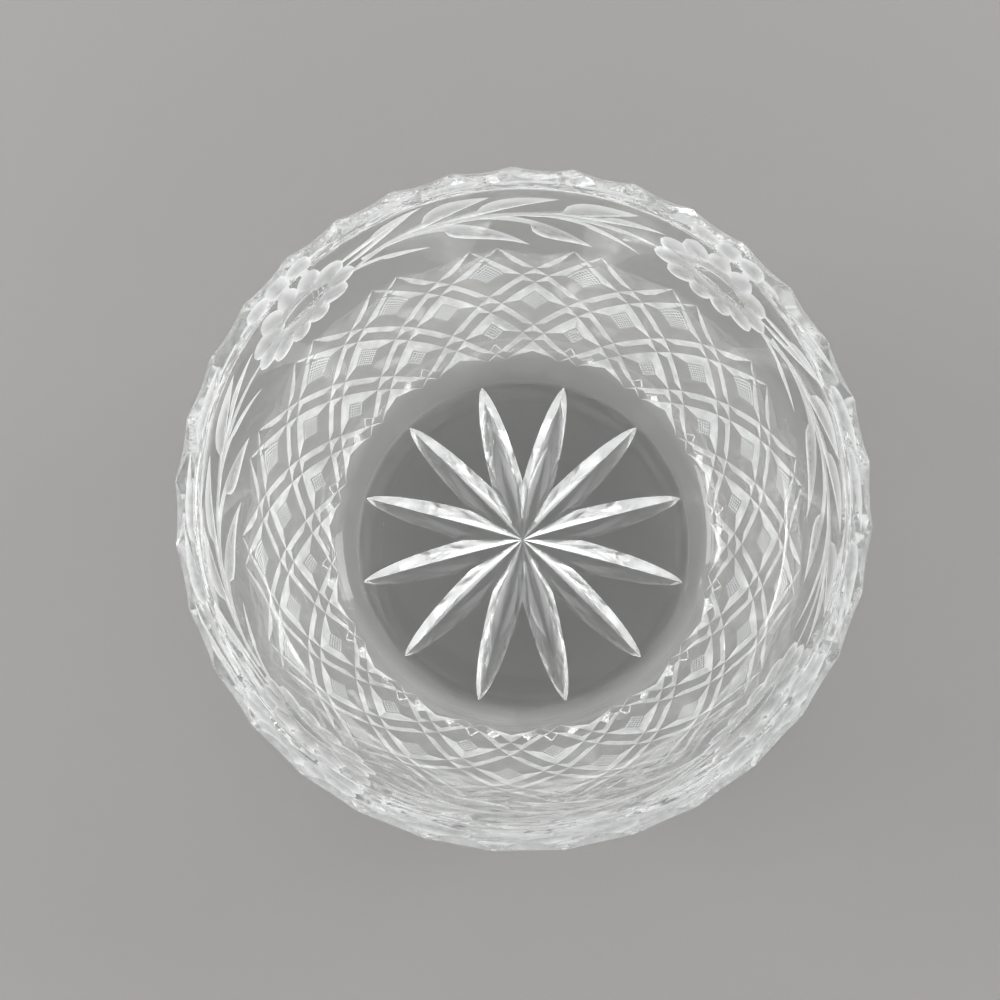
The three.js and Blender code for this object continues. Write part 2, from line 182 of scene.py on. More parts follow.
def show(shader, kind):
    """Makes a shader the one that its Material or its World shows."""
    out = shader.tree.nodes.new("ShaderNodeOutput" + kind)
    shader.tree.links.new(shader.socket, out.inputs["Surface"])


def noise(place, scale, detail, **more):
    """A soft random pattern over a place."""
    return place.node("TexNoise", 0, {}, {"Vector": place, "Scale": scale, "Detail": detail, **more})


def colour_mix(share, low, high):
    """A colour that goes from low to high with a share. A Mix node has its colours at 6, 7 and output 2."""
    return share.node("Mix", 2, {"data_type": "RGBA"}, {0: share, 6: low, 7: high})


floor_paint, place = material("floor_paint")
show(place.node("BsdfPrincipled", 0, {}, {
    "Base Color": (*FLOOR_COLOUR, 1.0),
    "Roughness": 0.6 + noise(place, 60.0, 3.0) * 0.15,
    "Specular IOR Level": 0.25,
}), "Material")
half = FLOOR_SIZE / 2
points = [[-half, -half, -FLOOR_DROP], [half, -half, -FLOOR_DROP],
          [half, half, -FLOOR_DROP], [-half, half, -FLOOR_DROP]]
floor = new_mesh("floor", points, [(0, 1, 2, 3)], floor_paint, whole_scene)

for name, light in LIGHTS.items():
    lamp = bpy.data.lights.new(name, "AREA")
    lamp.shape = "RECTANGLE"
    lamp.size, lamp.size_y = light["size"]
    lamp.energy = light["power"]
    panel = bpy.data.objects.new(name, lamp)
    back = np.array(light["place"]) / np.linalg.norm(light["place"])
    across = np.cross([0.0, 0.0, 1.0], back)
    across /= np.linalg.norm(across)
    panel.matrix_world = pose(across, np.cross(back, across), back, light["place"])
    whole_scene.objects.link(panel)

room = bpy.data.worlds.new("room")
start = empty_tree(room)
aim = start.node("TexCoord", "Generated", {}, {})
height = start.node("SeparateXYZ", "Z", {}, {"Vector": aim})
sky = colour_mix(height.between(*ROOM_DIMMING), (*ROOM_HORIZON, 1.0), (*ROOM_TOP, 1.0))
straight = start.node("LightPath", "Is Camera Ray", {}, {})
seen = colour_mix(straight, sky, (*BACKDROP, 1.0))
show(start.node("Background", 0, {}, {"Color": seen, "Strength": 1.0}), "World")
bpy.context.scene.world = room
bpy.context.scene.view_settings.view_transform = "Standard"
bpy.context.scene.cycles.max_bounces = BOUNCES
bpy.context.scene.cycles.glossy_bounces = GLOSSY_BOUNCES
bpy.context.scene.cycles.transmission_bounces = BOUNCES

# Polished glass: heavy lead glass, water clear with a faint grey-green tone in the thick rim. Its skin is very
# slightly wavy, hazy in patches, and has fine scratches in three directions.

GLASS_TONE = (0.978, 0.99, 0.98)
LEAD_GLASS_IOR = 1.54
WAVE_HEIGHT, SCRATCH_DEPTH = 0.00005, 0.000006
HAZE_PATCHES, SCRATCH_LINES = (0.5, 0.8), (0.70, 0.78)
SCRATCH_TURNS = (0.4, 1.7, 2.6)
SCRATCH_STRETCH = (40.0, 1800.0, 300.0)
SKIN_ROUGHNESS, HAZE_ROUGHNESS, SCRATCH_ROUGHNESS = 0.012, 0.03, 0.05


def glass(place, tone, inputs):
    """The shader of glass with a tone. How rough it is, and its bumps, are among its inputs."""
    return place.node("BsdfPrincipled", 0, {}, {
        "Base Color": (*tone, 1.0), "IOR": LEAD_GLASS_IOR, "Transmission Weight": 1.0, **inputs,
    })


clear_glass, place = material("polished_glass")
waves = noise(place, 70.0, 1.0, Roughness=0.4)
haze = noise(place, 38.0, 4.0).between(*HAZE_PATCHES)
lines = []
for turn in SCRATCH_TURNS:
    along = place.node("Mapping", 0, {}, {
        "Vector": place, "Rotation": (0.3, 0.5, turn), "Scale": SCRATCH_STRETCH,
    })
    lines.append(noise(along, 1.0, 0.0).between(*SCRATCH_LINES))
scratches = lines[0] + lines[1] + lines[2]
bumps = place.node("Bump", 0, {}, {"Height": waves, "Distance": WAVE_HEIGHT, "Strength": 1.0})
bumps = place.node("Bump", 0, {}, {
    "Height": scratches, "Distance": SCRATCH_DEPTH, "Strength": 0.6, "Normal": bumps,
})
show(glass(place, GLASS_TONE, {
    "Roughness": SKIN_ROUGHNESS + haze * HAZE_ROUGHNESS + scratches * SCRATCH_ROUGHNESS,
    "Normal": bumps,
}), "Material")

# Cut glass: the flanks of the mitres, the scallops and the star. The wheel has left them bright, but a little
# uneven and with a trace of white.

CUT_ROUGHNESS, CUT_WHITE_SHARE = 0.02, 0.05
# The scallops of the rim are duller than the star
SCALLOP_ROUGHNESS, SCALLOP_WHITE_SHARE = 0.2, 0.22
# A mitre's upward flank is painted whiter than its downward one. This is painted light, standing in for the
# bright room that the upward flanks turn back towards the camera. The mesh keeps, as lift, how far each of its
# faces leans up the wall
UPPER_FLANK_PAINTED_LIGHT = 0.55
PAINTED_LIGHT_LIFT = (0.08, 0.2)


def whitened(shader, tone, share):
    """A shader of glass mixed with a share of white that lets light through."""
    white = shader.node("BsdfTranslucent", 0, {}, {"Color": (*tone, 1.0)})
    return shader.node("MixShader", 0, {}, {0: share, 1: shader, 2: white})


def cut_surface(place, roughness, white_share):
    """The shader of glass as a polishing wheel leaves it."""
    clouds = noise(place, 160.0, 2.0)
    bright = glass(place, GLASS_TONE, {"Roughness": roughness + clouds * 0.04})
    return whitened(bright, GLASS_TONE, (clouds + 0.5) * white_share)


cut_glass, place = material("cut_glass")
show(cut_surface(place, CUT_ROUGHNESS, CUT_WHITE_SHARE), "Material")
mitre_glass, place = material("mitre_glass")
lift = place.node("Attribute", "Fac", {"attribute_name": "lift"}, {})
# Painted light: faces that lean up the wall get more white than the rest of the mitre
white_share = CUT_WHITE_SHARE + lift.between(*PAINTED_LIGHT_LIFT) * UPPER_FLANK_PAINTED_LIGHT
show(cut_surface(place, CUT_ROUGHNESS, white_share), "Material")
scallop_glass, place = material("scallop_glass")
show(cut_surface(place, SCALLOP_ROUGHNESS, SCALLOP_WHITE_SHARE), "Material")

# Satin glass: where a fine stone has cut it and nobody has polished it since, the glass is white, scatters what
# is seen through it and glows with the light behind it. The stone leaves fine streaks. The mesh keeps, as sunk,
# how many millimetres under the uncut wall each of its points lies.

SATIN_TONE = (0.97, 0.98, 0.975)
# The white is strongest along a cut's edges and gives way to rough glass towards its deepest line. This is the
# satin's own
# white with painted modelling over it: a painted highlight along the edges and painted shade along the deepest
# line
SATIN_SHARE, KEEL_PAINTED_SHADE = 0.9, 0.6
KEEL_SHADE_SUNK = (0.1, 0.8)
STREAK_HEIGHT = 0.00005


def satin_surface(place, white_share):
    """The shader of glass as a fine stone leaves it: rough glass, mixed with white in streaks."""
    streaks = noise(place, 420.0, 3.0)
    clouds = noise(place, 90.0, 2.0)
    bumps = place.node("Bump", 0, {}, {"Height": streaks, "Distance": STREAK_HEIGHT, "Strength": 0.5})
    rough = glass(place, SATIN_TONE, {"Roughness": 0.35 + clouds * 0.2, "Normal": bumps})
    return whitened(rough, SATIN_TONE, white_share + (streaks - 0.5) * 0.5)


satin_glass, place = material("satin_glass")
sunk = place.node("Attribute", "Fac", {"attribute_name": "sunk"}, {})
# Painted shade: each satin cut loses white towards its deepest line and keeps the most along its edges
show(satin_surface(place, SATIN_SHARE - sunk.between(*KEEL_SHADE_SUNK) * KEEL_PAINTED_SHADE), "Material")

# Hatched glass: the flat diamonds. Their fine crossed lines are ground white, and the little points between
# them stay clear.

HATCH_SHARE = 0.95
HATCH_SUNK = (0.38, 0.48)

hatched_glass, place = material("hatched_glass")
sunk = place.node("Attribute", "Fac", {"attribute_name": "sunk"}, {})
show(place.node("MixShader", 0, {}, {
    0: sunk.between(*HATCH_SUNK),
    1: cut_surface(place, CUT_ROUGHNESS, CUT_WHITE_SHARE),
    2: satin_surface(place, HATCH_SHARE),
}), "Material")

# Casting: the bowl before it is cut. Outside, an arc runs from the heel into a straight, slightly leaning upper
# wall. Inside, the same wall at its thickness sweeps round into a flat floor.

RIM_RADIUS, BOWL_HEIGHT = 99.9, 108.0
SHOULDER_RADIUS, SHOULDER_HEIGHT = 96.5, 58.0
HEEL_RADIUS, HEEL_HEIGHT = 68.5, 2.0
FOOT_RADIUS, FOOT_EDGE = 66.0, 0.3
RIM_THICKNESS, BELLY_THICKNESS, FLOOR_THICKNESS = 7.0, 8.5, 12.0
FLOOR_SWEEP = 39.0
RIM_EDGE, LIP_ROUND = 0.4, 2.0
# How far inside the foot's edge, and how far down the wall from the lip, the next ring of points lies
FOOT_RING_INSET, LIP_RING_DROP = 6, 6
SIDES = 240

upper_slope = math.atan2(BOWL_HEIGHT - SHOULDER_HEIGHT, RIM_RADIUS - SHOULDER_RADIUS)
chord_slope = math.atan2(SHOULDER_HEIGHT - HEEL_HEIGHT, SHOULDER_RADIUS - HEEL_RADIUS)
chord = math.hypot(SHOULDER_RADIUS - HEEL_RADIUS, SHOULDER_HEIGHT - HEEL_HEIGHT)
belly_half_turn = upper_slope - chord_slope
belly_radius = chord / (2 * math.sin(belly_half_turn))
belly_length = 2 * belly_half_turn * belly_radius
belly_start = upper_slope - 2 * belly_half_turn
belly_centre = (
    SHOULDER_RADIUS - belly_radius * math.sin(upper_slope),
    SHOULDER_HEIGHT + belly_radius * math.cos(upper_slope),
)
wall_length = belly_length + (BOWL_HEIGHT - SHOULDER_HEIGHT) / math.sin(upper_slope)


def wall(length):
    """Radius, height and slope of the outer wall at a length measured up it from the heel. Up to the shoulder
    that point is on the belly's arc: centre + arc radius * (sine, -cosine of the slope). Beyond, it is
    straight on at the upper slope."""
    on_arc = np.minimum(length, belly_length)
    slope = belly_start + on_arc / belly_radius
    beyond = length - on_arc
    radius = belly_centre[0] + belly_radius * np.sin(slope) + beyond * math.cos(upper_slope)
    height = belly_centre[1] - belly_radius * np.cos(slope) + beyond * math.sin(upper_slope)
    return radius, height, slope


def length_at(height):
    """The length up the wall at which a height is reached: wall() solved for its second part."""
    slope = np.arccos((belly_centre[1] - np.minimum(height, SHOULDER_HEIGHT)) / belly_radius)
    beyond = np.maximum(height - SHOULDER_HEIGHT, 0) / math.sin(upper_slope)
    return (slope - belly_start) * belly_radius + beyond


def on_wall(angle, length, depth):
    """Points at an angle round the bowl and a length up its wall, sunk straight into the glass by a depth."""
    radius, height, slope = wall(length)
    reach = radius - depth * np.sin(slope)
    return np.stack([reach * np.cos(angle), reach * np.sin(angle), height + depth * np.cos(slope)], axis=-1)


def inside(length):
    """Radius and height of the inner wall: the outer wall's point moved in square to it by the thickness."""
    radius, height, slope = wall(length)
    thickness = BELLY_THICKNESS + (RIM_THICKNESS - BELLY_THICKNESS) * length / wall_length
    return np.stack([radius - thickness * np.sin(slope), height + thickness * np.cos(slope)], axis=-1)


def bend(start, corner, end, steps):
    """Points of a curve that leaves start towards corner and comes into end from it: the weights of the three
    are (1 - t) squared, 2t(1 - t) and t squared."""
    t = np.linspace(0, 1, steps + 1)[:, None]
    return (1 - t) ** 2 * np.array(start) + 2 * t * (1 - t) * np.array(corner) + t ** 2 * np.array(end)


def side_faces(rings, points):
    """The four-sided faces between neighbouring rings of points, each face as four numbers of points. They
    face outwards if each ring runs anticlockwise and the next one lies above it."""
    ring, point = np.meshgrid(np.arange(rings - 1), np.arange(points), indexing="ij")
    following = (point + 1) % points
    corners = [ring * points + point, ring * points + following,
               (ring + 1) * points + following, (ring + 1) * points + point]
    return np.stack(corners, axis=-1).reshape(-1, 4)


def rod_faces(rings, points):
    """The faces of a solid made of rings of points, with a flat face at either end. They face outwards if
    each ring runs clockwise and the next one lies above it."""
    last = rings * points - 1
    ends = [list(range(points)), list(range(last, last - points, -1))]
    return side_faces(rings, points)[:, ::-1].tolist() + ends


sweep_end = inside(np.array(FLOOR_SWEEP))
sweep_slope = float(wall(np.array(FLOOR_SWEEP))[2])
floor_bend = np.array([
    sweep_end[0] - (sweep_end[1] - FLOOR_THICKNESS) / math.tan(sweep_slope), FLOOR_THICKNESS,
])
sweep_start = floor_bend - [np.linalg.norm(sweep_end - floor_bend), 0]
lip = RIM_RADIUS - RIM_THICKNESS
outer_radius, outer_height, _ = wall(np.concatenate([
    np.linspace(0, belly_length, 25), np.linspace(belly_length, wall_length, 9)[1:],
]))
profile = np.concatenate([
    [[0, 0], [FOOT_RADIUS - FOOT_RING_INSET, 0]],
    bend((FOOT_RADIUS - FOOT_EDGE, 0), (FOOT_RADIUS + FOOT_EDGE, 0.05), (HEEL_RADIUS, HEEL_HEIGHT), 8),
    np.stack([outer_radius, outer_height], axis=-1)[1:-1],
    bend((RIM_RADIUS - 0.03, BOWL_HEIGHT - RIM_EDGE), (RIM_RADIUS, BOWL_HEIGHT),
         (RIM_RADIUS - RIM_EDGE, BOWL_HEIGHT), 2),
    bend((lip + LIP_ROUND, BOWL_HEIGHT), (lip + 0.3, BOWL_HEIGHT - 0.1), (lip, BOWL_HEIGHT - LIP_ROUND), 6),
    inside(np.linspace(wall_length - LIP_RING_DROP, FLOOR_SWEEP, 26)),
    bend(sweep_end, floor_bend, sweep_start, 20)[1:],
    [[sweep_start[0] / 2, FLOOR_THICKNESS], [0, FLOOR_THICKNESS]],
])
turn = np.linspace(0, 2 * math.pi, SIDES, endpoint=False)
radii, heights = profile[1:-1, 0, None], profile[1:-1, 1, None]
rings = np.stack(np.broadcast_arrays(radii * np.cos(turn), radii * np.sin(turn), heights), axis=-1)
points = np.concatenate([rings.reshape(-1, 3), [[0, 0, 0], [0, 0, FLOOR_THICKNESS]]])
low_pole, high_pole = len(points) - 2, len(points) - 1
last = (len(rings) - 1) * SIDES
side = np.arange(SIDES)
faces = side_faces(len(rings), SIDES).tolist()
faces += np.stack([np.full(SIDES, low_pole), (side + 1) % SIDES, side], axis=-1).tolist()
faces += np.stack([np.full(SIDES, high_pole), last + side, last + (side + 1) % SIDES], axis=-1).tolist()
casting = new_mesh("rose_bowl", points, faces, clear_glass, whole_scene)

cuts = bpy.data.collections.new("cuts")
whole_scene.children.link(cuts)

# Scalloped rim: a round wheel held on a slant takes 33 shallow scallops off the outer top edge, each meeting
# the next in a point.

SCALLOPS = 33
SCALLOP_PHASE = math.radians(4.2)
SCALLOP_WHEEL = 30.0
SCALLOP_TILT = math.radians(45)
WHEEL_WIDTH, WHEEL_SIDES = 24.0, 128

half_pitch = RIM_RADIUS * math.pi / SCALLOPS
scallop_depth = half_pitch ** 2 / 2 * (1 / SCALLOP_WHEEL + math.sin(SCALLOP_TILT) / RIM_RADIUS)
ring = np.linspace(0, 2 * math.pi, WHEEL_SIDES, endpoint=False)
for i in range(SCALLOPS):
    angle = SCALLOP_PHASE + (i + 0.5) * 2 * math.pi / SCALLOPS
    out = np.array([math.cos(angle), math.sin(angle), 0])
    across = np.array([-math.sin(angle), math.cos(angle), 0])
    away = out * math.sin(SCALLOP_TILT) + np.array([0, 0, math.cos(SCALLOP_TILT)])
    axle = np.cross(away, across)
    centre = out * RIM_RADIUS + [0, 0, BOWL_HEIGHT] + away * (SCALLOP_WHEEL - scallop_depth)
    rim = centre + SCALLOP_WHEEL * (np.cos(ring)[:, None] * across + np.sin(ring)[:, None] * away)
    points = np.concatenate([rim - axle * WHEEL_WIDTH / 2, rim + axle * WHEEL_WIDTH / 2])
    new_mesh(f"scallop_{i}", points, rod_faces(2, WHEEL_SIDES), scallop_glass, cuts)

# Double mitres: pairs of wide V cuts that cross the belly both ways at one steady angle. They leave a sharp
# ridge between the two of a pair, a small pyramid at each crossing and flat diamonds, which are then
# cross-hatched. One ring takes them all away: its inner face has the shape of the finished band.

MITRE_PAIRS = 16
MITRE_TOP, MITRE_FOOT = 67.0, 7.0
# In degrees round the bowl: where the first pair starts, how far a cut turns on its way down, and half the
# distance between the two cuts of a pair
MITRE_PHASE, MITRE_TURN, MITRE_GAP = 8.2, 45.0, 3.0
MITRE_HALF_WIDTH, MITRE_DEPTH = 5.6, 3.1
# Shares of its turn over which a cut deepens at its top and runs out at its foot
FADE_TOP, FADE_FOOT = 0.30, 0.15
FADE_POWER = 0.6
DIAMOND_DEPTH, HATCH_DEPTH = 0.1, 0.5
# Steps of the grid from a diamond's edge to its middle in each row of diamonds, as fine as its hatching
HATCH_LINES = {1: 8, 2: 7, 3: 5}
# Steps of the grid from the middle of a pair to the middle of the diamonds beside it, those of them up to
# twice the half gap, and those beyond the edge where nothing is hatched
STEPS, NEAR_STEPS, PLAIN_STEPS = 14, 4, 5
# Where nothing is hatched the edge lies at this share of half a pitch. An edge always stays some degrees away
# from the near lines and from the diamond's middle
PLAIN_EDGE = 0.8
LEAST_FLANK, LEAST_FLAT = 0.3, 0.4
# The grid runs past a cut's two ends by a share of its turn, straight on at a share of the way down per turn
OVERRUN, STRAIGHT_ON = 0.09, 0.8
TURN_TABLE_STEPS = 400
RING_THICKNESS, RING_ROWS = 14.0, 17

band_top, band_foot = float(length_at(MITRE_TOP)), float(length_at(MITRE_FOOT))
pitch = 360 / MITRE_PAIRS
pair_steps = 2 * STEPS


def band_length(down):
    """The length up the wall at a share of the way down the band."""
    return band_top + (band_foot - band_top) * down


ways = np.linspace(0, 1, TURN_TABLE_STEPS + 1)
step_radii = wall(band_length((ways[1:] + ways[:-1]) / 2))[0]
turned = np.concatenate([[0], np.cumsum((band_top - band_foot) / TURN_TABLE_STEPS / step_radii)])
steepness = math.sin(math.atan2(turned[-1], math.radians(MITRE_TURN)))


def way_down(turn):
    """The share of the way down the band at which a cut has made a share of its turn. A cut that keeps its
    angle turns by (drop / radius) summed down the wall, so the table of that sum is read backwards. Past
    either end of the band it goes straight on."""
    inner = np.interp(turn, turned / turned[-1], ways)
    return inner + np.minimum(turn, 0) * STRAIGHT_ON + np.maximum(turn - 1, 0) * STRAIGHT_ON


def band_point(left, right, depth):
    """The place where a cut that starts at the angle left and turns one way meets one that starts at the
    angle right and turns the other: its angle is their mean, and its turn half their difference."""
    down = way_down((right - left) / (2 * MITRE_TURN))
    return on_wall(np.radians((left + right) / 2), band_length(down), depth)


row_count = round(2 * MITRE_TURN / (pitch / 2 / STEPS))
first_row, last_row = -round(OVERRUN * row_count), round((1 + OVERRUN) * row_count)
columns = pair_steps * MITRE_PAIRS
row, left_line = np.meshgrid(np.arange(first_row, last_row + 1), np.arange(columns), indexing="ij")
right_line = left_line + row
turn_share = row / row_count
radius_here = wall(band_length(way_down(turn_share)))[0]
# The depth that a flank loses in each degree round the bowl
fall = MITRE_DEPTH / MITRE_HALF_WIDTH * radius_here * steepness * math.pi / 180
# A cut opens at once at its top and then deepens slowly, and it runs out evenly at its foot. Past its ends it
# stands off the wall
opened = np.clip(turn_share / FADE_TOP, -1, 1)
opened = np.sign(opened) * np.abs(opened) ** FADE_POWER
full_depth = MITRE_DEPTH * np.minimum(opened, np.clip((1 - turn_share) / FADE_FOOT, -1, 1))
diamond_row = right_line // pair_steps - left_line // pair_steps
hatch_lines = np.select([diamond_row == k for k in HATCH_LINES], list(HATCH_LINES.values()), 0)
diamond_edge = np.where(
    hatch_lines > 0, MITRE_GAP + (full_depth - DIAMOND_DEPTH) / fall, PLAIN_EDGE * pitch / 2
).clip(2 * MITRE_GAP + LEAST_FLANK, pitch / 2 - LEAST_FLAT)
flat_steps = np.where(hatch_lines > 0, hatch_lines, PLAIN_STEPS)


def spread(line):
    """For each line of the band's grid: its degrees from the middle of its pair of cuts, its degrees round
    the bowl, and its steps from the middle of its diamond. The grid is even up to twice the half gap, then
    even up to the diamond's edge, then even up to the diamond's middle."""
    offset = (line + STEPS) % pair_steps - STEPS
    steps = np.abs(offset)
    edge_step = STEPS - flat_steps
    flank_steps = np.maximum(edge_step - NEAR_STEPS, 1)
    near = 2 * MITRE_GAP * steps / NEAR_STEPS
    flank = 2 * MITRE_GAP + (diamond_edge - 2 * MITRE_GAP) * (steps - NEAR_STEPS) / flank_steps
    flat = diamond_edge + (pitch / 2 - diamond_edge) * (steps - edge_step) / flat_steps
    degrees = np.sign(offset) * np.where(steps <= NEAR_STEPS, near, np.where(steps <= edge_step, flank, flat))
    return degrees, MITRE_PHASE + (line + STEPS) // pair_steps * pitch + degrees, STEPS - steps


left_offset, left_degrees, left_to_middle = spread(left_line)
right_offset, right_degrees, right_to_middle = spread(right_line)
# A pair's depth falls away evenly on both sides of each of its two lines, and the deeper hand wins
depth = full_depth - fall * np.minimum(
    np.abs(np.abs(left_offset) - MITRE_GAP), np.abs(np.abs(right_offset) - MITRE_GAP)
)
on_diamond = (hatch_lines > 0) & (left_to_middle <= flat_steps) & (right_to_middle <= flat_steps)
on_groove = ((flat_steps - left_to_middle) % 2 == 1) | ((flat_steps - right_to_middle) % 2 == 1)
depth = np.where(on_diamond, DIAMOND_DEPTH + HATCH_DEPTH * on_groove, depth)
inner = band_point(left_degrees, right_degrees, depth)
# The ring's outer face follows the wall in several rows, because a face that ran straight from its top to its
# foot would turn through the bowl on the way and leave glass outside it
picked = np.linspace(0, len(depth) - 1, RING_ROWS).round().astype(int)
outside = band_point(left_degrees[picked], right_degrees[picked], -RING_THICKNESS)

rows = len(inner)
points = np.concatenate([inner.reshape(-1, 3), outside.reshape(-1, 3)])
number = np.arange(rows * columns).reshape(rows, columns)
# A cell of the grid has its left and right corners in one row, and the other two in the rows next to it. It is
# split along the shallower of its two diagonals
ahead = np.roll(number, -1, axis=1)
cell_side_a, cell_side_b = number[1:-1], ahead[1:-1]
cell_up, cell_down = ahead[:-2], number[2:]
flat_depth = depth.reshape(-1)
level_split = flat_depth[cell_side_a] + flat_depth[cell_side_b] <= flat_depth[cell_up] + flat_depth[cell_down]
by_level = np.stack([cell_side_a, cell_up, cell_side_b, cell_side_a, cell_side_b, cell_down], axis=-1)
by_plumb = np.stack([cell_side_a, cell_up, cell_down, cell_up, cell_side_b, cell_down], axis=-1)
cells = np.where(level_split[..., None], by_level, by_plumb).reshape(-1, 3)
top_half = np.stack([number[0], ahead[0], number[1]], axis=-1)
foot_half = np.stack([number[-1], ahead[-2], ahead[-1]], axis=-1)
outer = np.arange(RING_ROWS * columns).reshape(RING_ROWS, columns) + rows * columns
onward = np.roll(outer, -1, axis=1)
shell = np.concatenate([
    np.stack([outer[:-1], outer[1:], onward[1:], onward[:-1]], axis=-1).reshape(-1, 4),
    np.stack([number[0], outer[0], onward[0], ahead[0]], axis=-1),
    np.stack([number[-1], ahead[-1], onward[-1], outer[-1]], axis=-1),
])
faces = cells.tolist() + top_half.tolist() + foot_half.tolist() + shell.tolist()
band = new_mesh("mitre_band", points, faces, mitre_glass, cuts)
band.data.materials.append(hatched_glass)
# A cell is hatched if all of its corners lie on one diamond
beside, below = np.roll(on_diamond, -1, axis=1), on_diamond[2:]
hatched = on_diamond[1:-1] & beside[1:-1] & beside[:-2] & below
finishes = np.zeros(len(faces), int)
finishes[:2 * hatched.size] = np.repeat(hatched.reshape(-1), 2)
band.data.polygons.foreach_set("material_index", finishes)

# Leaf sprays: four stems with ten long leaves each, cut shallow and left satin. A leaf starts as a thin stalk
# beside the stem and opens into a blade, which begins with a round lobe on the side away from the stem.

SPRAYS = 4
FLOWER_PHASE = math.radians(49)
FLOWER_HEIGHT = 87.0
SPRAY_LIFT = -0.5
STEM_PATH = [(-60, -3.0), (-40, 1.9), (-24, 1.3), (-7, 0.8), (10, 1.1), (27, 1.1), (40, 0.6), (56, -0.3)]
STEM_HALF_WIDTH, STEM_TAPER, STALK_HALF_WIDTH, TIP_HALF_WIDTH = 1.1, 0.8, 0.5, 0.05
# The depth of a stem or a leaf as a share of its half width
STEM_SLOPE, LEAF_SLOPE = 0.5, 0.34
# Each leaf: where it leaves the stem and where its tip is, both across and up from the spray's middle, how
# late it bends away, and the half widths of its smooth side and its lobed side
LEAVES = [
    ((-60, 2), (-29.4, 12.2), 1.2, 1.3, 1.2),
    ((-64, 5), (-25.5, 13.5), 1.0, 1.2, 1.2),
    ((-50, 1), (-3.6, 11.3), 1.27, 2.3, 4.4),
    ((-35, 1.5), (19.4, 10.4), 1.47, 2.2, 3.2),
    ((-4, 1), (45.9, 11.7), 2.0, 2.4, 4.4),
    ((14, 1), (55.8, 8.2), 1.1, 1.5, 1.3),
    ((-50, 1.5), (9.9, -18.1), 2.3, 3.0, 4.8),
    ((-12, 0.8), (32.5, -14.4), 1.44, 2.0, 5.4),
    ((8, 0.6), (49.6, -9.3), 2.0, 0.9, 0.9),
    ((-60, -1), (-26.3, -10.0), 1.3, 1.0, 1.0),
]
# The share of a leaf's length at which each of its sides starts to swell
SMOOTH_START, LOBE_START = 0.2, 0.5
SWELL_POWER = 0.6
# How sharp the deepest line of a cut is, from 0 for a round scoop to 1 for a V
STEM_KEEL, LEAF_KEEL, PETAL_KEEL, INNER_PETAL_KEEL, EYE_KEEL, BAR_KEEL = 0.3, 0.7, 0.15, 0.3, 0.5, 1.0
SECTION_POINTS = 9
# Off the wall, the solid that a wheel takes away is wider than the cut by a factor and stands up by a height
CLEAR_WIDTH, CLEAR_HEIGHT = 1.6, 1.0

middle_length = float(length_at(FLOWER_HEIGHT))
middle_radius = float(wall(middle_length)[0])


def wheel_cut(name, centre, across, up, left, right, deep, keel, finish):
    """Adds the solid that a wheel takes away along a path on the wall. The path is across and up in
    millimetres from a centre angle. Square to it the cut's floor goes from the left edge to the deepest line
    and on to the right edge: straight for a keel of 1, as a round scoop for a keel of 0. The path, the two
    half widths and the depth are arrays along the path."""
    path = np.stack([across, up], axis=-1)
    run = np.gradient(path, axis=0)
    run /= np.linalg.norm(run, axis=-1, keepdims=True)
    aside = np.stack([-run[:, 1], run[:, 0]], axis=-1)
    share = np.linspace(-1, 1, SECTION_POINTS)
    straight, rounded = 1 - np.abs(share), 1 - share ** 2
    floor_depth = (keel * straight + (1 - keel) * rounded) * deep[:, None]
    width = np.where(share > 0, left[:, None], right[:, None]) * share
    width = np.concatenate([width, CLEAR_WIDTH * np.stack([left, -right], axis=-1)], axis=1)
    floor_depth = np.concatenate([floor_depth, np.full((len(path), 2), -CLEAR_HEIGHT)], axis=1)
    spot = path[:, None] + width[..., None] * aside[:, None]
    points = on_wall(centre - spot[..., 0] / middle_radius, middle_length + spot[..., 1], floor_depth)
    new_mesh(name, points, rod_faces(*width.shape), finish, cuts)


def swell(share, start):
    """How far a side of a blade has swelled out, from 0 to 1 and back to 0: the sine of half a turn times
    (share of the way from start to the tip) to a power, which puts the widest place nearer to start."""
    run = np.clip((share - start) / (1 - start), 0, 1)
    return np.sin(math.pi * run ** SWELL_POWER)


share = np.linspace(0, 1, 25)
stem_across, stem_up = np.array(STEM_PATH, float).T
for i in range(SPRAYS):
    centre = FLOWER_PHASE + (i + 0.5) * 2 * math.pi / SPRAYS
    across = stem_across[0] + (stem_across[-1] - stem_across[0]) * share
    up = SPRAY_LIFT + np.interp(across, stem_across, stem_up)
    narrow = STEM_HALF_WIDTH * (1 - STEM_TAPER * np.abs(2 * share - 1) ** 6)
    wheel_cut(f"stem_{i}", centre, across, up, narrow, narrow, narrow * STEM_SLOPE, STEM_KEEL, satin_glass)
    for j, (root, tip, late, smooth, lobe) in enumerate(LEAVES):
        across = root[0] + (tip[0] - root[0]) * share
        up = SPRAY_LIFT + root[1] + (tip[1] - root[1]) * share ** late
        stalk = STALK_HALF_WIDTH * np.sqrt(1 - share) + TIP_HALF_WIDTH
        inner_side = stalk + smooth * swell(share, SMOOTH_START)
        outer_side = stalk + lobe * swell(share, LOBE_START)
        left, right = (outer_side, inner_side) if tip[1] > 0 else (inner_side, outer_side)
        deep = (left + right) / 2 * LEAF_SLOPE
        wheel_cut(f"leaf_{i}_{j}", centre, across, up, left, right, deep, LEAF_KEEL, satin_glass)

# Flowers: between the sprays, a ring of round-tipped petals, two long inner petals that hold the eye between
# them, and the eye itself, pointed at one end and blunt at the other. Petals are satin scoops, and the eye is
# a deeper, polished one with a few bars cut across its blunt end.

FLOWER_WIDE, FLOWER_TALL = 24.0, 14.0
PETALS = 11
PETAL_PHASE = math.radians(-4)
PETAL_HALF_WIDTH, PETAL_DEPTH, INNER_PETAL_DEPTH = 4.8, 0.9, 1.2
# Shares of the flower's half width and height at which a petal has its middle, and by which it goes on from
# there both ways
PETAL_MIDDLE, PETAL_REACH = 0.65, 0.35
